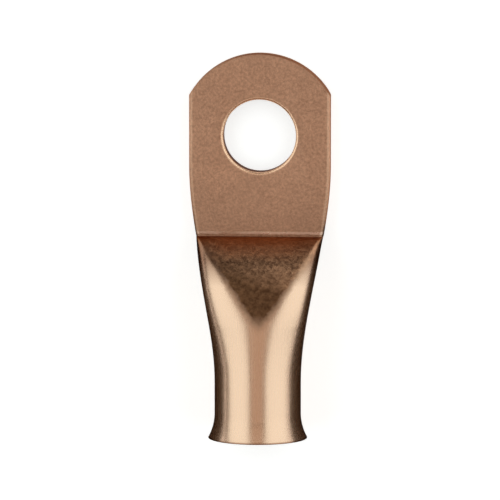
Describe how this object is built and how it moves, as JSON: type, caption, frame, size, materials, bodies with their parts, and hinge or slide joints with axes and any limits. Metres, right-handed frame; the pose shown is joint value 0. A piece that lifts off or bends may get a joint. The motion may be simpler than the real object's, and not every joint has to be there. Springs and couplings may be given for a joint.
{
  "type": "copper cable lug",
  "caption": "Tubular copper cable lug with a flat palm and stud hole at one end and a bell-mouthed crimp barrel at the other.",
  "frame": {"origin": "centre of the stud hole on the palm's back face", "axes": "+Y along the lug from the hole to the tip, +Z out of the palm's front face, up as the lug lies on its back, +X to the right seen from the front with the tip up"},
  "size_m": [0.02, 0.0541, 0.014],
  "materials": {
    "copper": "bare copper, grainy and matt on the pressed palm, drawn and shiny on the barrel"
  },
  "bodies": {
    "root": {"cable_lug": "copper"}
  },
  "joints": []
}
